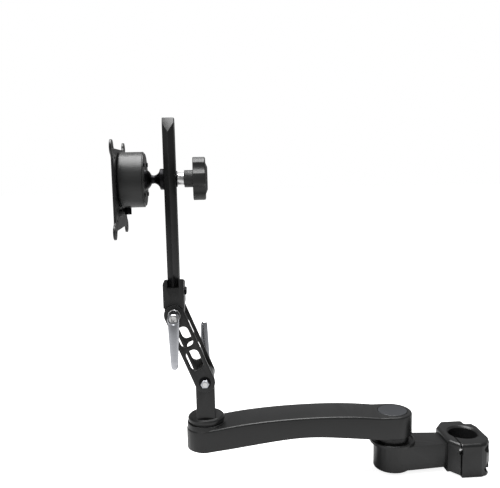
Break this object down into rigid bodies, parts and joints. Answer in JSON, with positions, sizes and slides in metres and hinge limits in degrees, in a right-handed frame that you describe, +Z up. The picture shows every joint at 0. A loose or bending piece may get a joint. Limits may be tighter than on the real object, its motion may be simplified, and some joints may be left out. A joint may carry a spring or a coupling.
{
  "type": "monitor arm",
  "caption": "Pole-mounted monitor arm: split clamp, swinging arm, tilting link with clamping levers, slotted mast with a sliding ball head and an X-shaped screen plate.",
  "frame": {"origin": "axis of the pole bore at the clamp's lower face", "axes": "+Z up the pole, -X towards the screen, -Y towards the front lever"},
  "size_m": [0.4775, 0.118, 0.4725],
  "materials": {
    "powder_black": "satin powder coat",
    "black_plastic": "fine moulded",
    "blackened_steel": "black oxide",
    "zinc_steel": "bright zinc",
    "chrome_plate": "polished",
    "bronze": "machined"
  },
  "bodies": {
    "clamp": {"pole_clamp": "powder_black", "clamp_screws": "zinc_steel", "elbow_pin": "zinc_steel", "elbow_pin_bolt": "zinc_steel", "elbow_thrust_washer": "black_plastic", "elbow_springs": "blackened_steel", "elbow_nut": "zinc_steel"},
    "arm": {"main_arm": "powder_black", "elbow_cap": "black_plastic", "elbow_friction_washer": "black_plastic", "elbow_bushes": "bronze", "swivel_bushes": "bronze", "swivel_washer": "black_plastic", "swivel_plug": "black_plastic"},
    "upright": {"swivel_flange": "powder_black", "upright_post": "powder_black", "swivel_bolt": "zinc_steel", "swivel_springs": "blackened_steel", "lower_tilt_bushes": "bronze"},
    "link": {"rear_link_plate": "powder_black", "front_link_plate": "powder_black", "lower_pivot_stud": "zinc_steel", "lower_pivot_nut": "chrome_plate", "lower_pivot_washer": "blackened_steel", "upper_pivot_stud": "zinc_steel", "upper_pivot_nut": "chrome_plate", "upper_pivot_washer": "blackened_steel"},
    "upper_lever_core": {"upper_lever_insert": "zinc_steel", "upper_lever_screw": "zinc_steel"},
    "upper_lever": {"upper_lever_handle": "chrome_plate"},
    "lower_lever_core": {"lower_lever_insert": "zinc_steel", "lower_lever_screw": "zinc_steel"},
    "lower_lever": {"lower_lever_handle": "chrome_plate"},
    "mast": {"mast_bracket": "powder_black", "mast_bar": "powder_black", "mast_screws": "zinc_steel", "upper_tilt_bushes": "bronze"},
    "carriage": {"ball_stud": "blackened_steel", "slide_washer": "blackened_steel", "knob_spacer": "zinc_steel"},
    "knob": {"height_knob": "black_plastic", "knob_insert": "bronze"},
    "ball_seats": {"rear_ball_seat": "black_plastic", "front_ball_seat": "black_plastic"},
    "head": {"head_housing": "powder_black", "retaining_ring": "powder_black", "ring_screws": "zinc_steel", "tension_screw": "blackened_steel"},
    "vesa": {"vesa_plate": "powder_black", "plate_spindle": "zinc_steel", "spindle_washer": "zinc_steel", "spindle_screw": "zinc_steel"}
  },
  "joints": [
    {"name": "elbow", "type": "hinge", "parent": "clamp", "child": "arm", "pos_m": [-0.098, 0, 0.06], "axis": [0, 0, 1], "range_deg": [-150, 150]},
    {"name": "swivel", "type": "hinge", "parent": "arm", "child": "upright", "pos_m": [-0.348, 0, 0.08], "axis": [0, 0, 1], "range_deg": [-175, 175]},
    {"name": "lower_tilt", "type": "hinge", "parent": "upright", "child": "link", "pos_m": [-0.348, 0, 0.1385], "axis": [0, 1, 0], "range_deg": [-48, 67]},
    {"name": "upper_tilt", "type": "hinge", "parent": "link", "child": "mast", "pos_m": [-0.38381, 0, 0.22757], "axis": [0, 1, 0], "range_deg": [-35, 35]},
    {"name": "upper_lever_turn", "type": "hinge", "parent": "link", "child": "upper_lever_core", "pos_m": [-0.38381, -0.0246, 0.22757], "axis": [0, -1, 0], "range_deg": [-90, 90]},
    {"name": "upper_lever_lift", "type": "slide", "parent": "upper_lever_core", "child": "upper_lever", "axis": [0, -1, 0], "range_m": [0, 0.0035], "stiffness_N_per_m": 1200},
    {"name": "lower_lever_turn", "type": "hinge", "parent": "link", "child": "lower_lever_core", "pos_m": [-0.348, 0.0246, 0.1385], "axis": [0, 1, 0], "range_deg": [-90, 90]},
    {"name": "lower_lever_lift", "type": "slide", "parent": "lower_lever_core", "child": "lower_lever", "axis": [0, 1, 0], "range_m": [0, 0.0035], "stiffness_N_per_m": 1200},
    {"name": "height_slide", "type": "slide", "parent": "mast", "child": "carriage", "axis": [0, 0, 1], "range_m": [-0.095, 0.045]},
    {"name": "knob_turn", "type": "hinge", "parent": "carriage", "child": "knob", "pos_m": [-0.36, 0, 0.397], "axis": [1, 0, 0], "continuous": true},
    {"name": "head_tilt", "type": "hinge", "parent": "carriage", "child": "ball_seats", "pos_m": [-0.421, 0, 0.397], "axis": [0, 1, 0], "range_deg": [-25, 25]},
    {"name": "head_pan", "type": "hinge", "parent": "ball_seats", "child": "head", "pos_m": [-0.421, 0, 0.397], "axis": [0, 0, 1], "range_deg": [-25, 25]},
    {"name": "head_roll", "type": "hinge", "parent": "head", "child": "vesa", "pos_m": [-0.446, 0, 0.397], "axis": [1, 0, 0], "range_deg": [-90, 90]}
  ]
}
